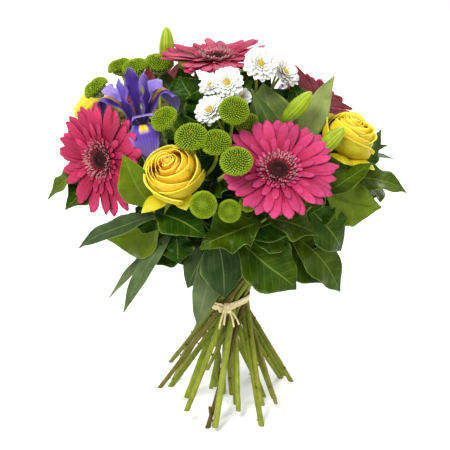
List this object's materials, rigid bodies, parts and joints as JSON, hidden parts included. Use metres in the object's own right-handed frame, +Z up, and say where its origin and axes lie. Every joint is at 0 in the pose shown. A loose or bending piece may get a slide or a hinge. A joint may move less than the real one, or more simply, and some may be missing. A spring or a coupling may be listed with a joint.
{
  "type": "flower bouquet",
  "caption": "Hand-tied bouquet of mixed cut flowers and leafy greenery, bound with raffia, standing on its spiralled stem ends.",
  "frame": {"origin": "on the floor, below the middle of the bouquet's box", "axes": "+Z up along the stems, -Y is the front seen in the picture, +X its right side"},
  "size_m": [0.3463, 0.2926, 0.384],
  "materials": {
    "raffia": "dry, fibrous",
    "gerbera_petals_deep_pink": "soft satin",
    "gerbera_petals_pink": "soft satin",
    "gerbera_petals_crimson": "soft satin",
    "gerbera_eye": "matt",
    "gerbera_stem": "fine-haired, matt",
    "rose_petals": "velvety",
    "rose_stem": "smooth, satin",
    "iris_petals": "velvety",
    "iris_stem": "waxy, satin",
    "green_mum": "matt",
    "daisy_florets": "matt",
    "daisy_stem": "matt",
    "lily_bud": "waxy, satin",
    "broad_leaf": "glossy above",
    "narrow_leaf": "satin"
  },
  "bodies": {
    "root": {"broad_leaf_stem_back": "broad_leaf", "broad_leaf_stem_back_left": "broad_leaf", "broad_leaf_stem_back_right": "broad_leaf", "broad_leaf_stem_centre": "broad_leaf", "broad_leaf_stem_front_centre": "broad_leaf", "broad_leaf_stem_front_low": "broad_leaf", "broad_leaf_stem_front_right": "broad_leaf", "broad_leaf_stem_left": "broad_leaf", "broad_leaf_stem_left_low": "broad_leaf", "broad_leaf_stem_right": "broad_leaf", "daisy_front_1": "daisy_florets", "daisy_front_2": "daisy_florets", "daisy_front_3": "daisy_florets", "daisy_front_4": "daisy_florets", "daisy_right_1": "daisy_florets", "daisy_right_2": "daisy_florets", "daisy_right_3": "daisy_florets", "daisy_spray_front_stem": "daisy_stem", "daisy_spray_right_stem": "daisy_stem", "gerbera_back_left_eye": "gerbera_eye", "gerbera_back_left_petals": "gerbera_petals_crimson", "gerbera_back_left_stem": "gerbera_stem", "gerbera_back_right_eye": "gerbera_eye", "gerbera_back_right_petals": "gerbera_petals_crimson", "gerbera_back_right_stem": "gerbera_stem", "gerbera_front_eye": "gerbera_eye", "gerbera_front_petals": "gerbera_petals_pink", "gerbera_front_stem": "gerbera_stem", "gerbera_left_eye": "gerbera_eye", "gerbera_left_petals": "gerbera_petals_deep_pink", "gerbera_left_stem": "gerbera_stem", "gerbera_top_eye": "gerbera_eye", "gerbera_top_petals": "gerbera_petals_deep_pink", "gerbera_top_stem": "gerbera_stem", "green_mum_spray_back": "green_mum", "green_mum_spray_centre": "green_mum", "green_mum_spray_left": "green_mum", "green_mum_spray_low": "green_mum", "green_mum_spray_top_left": "green_mum", "iris_back_petals": "iris_petals", "iris_back_stem": "iris_stem", "iris_left_petals": "iris_petals", "iris_left_stem": "iris_stem", "lily_left": "lily_bud", "lily_right": "lily_bud", "narrow_leaf_stem_back": "narrow_leaf", "narrow_leaf_stem_front": "narrow_leaf", "narrow_leaf_stem_left": "narrow_leaf", "narrow_leaf_stem_right": "narrow_leaf", "raffia_binding": "raffia", "rose_back_petals": "rose_petals", "rose_back_stem": "rose_stem", "rose_front_petals": "rose_petals", "rose_front_stem": "rose_stem", "rose_left_petals": "rose_petals", "rose_left_stem": "rose_stem", "rose_right_petals": "rose_petals", "rose_right_stem": "rose_stem"}
  },
  "joints": []
}
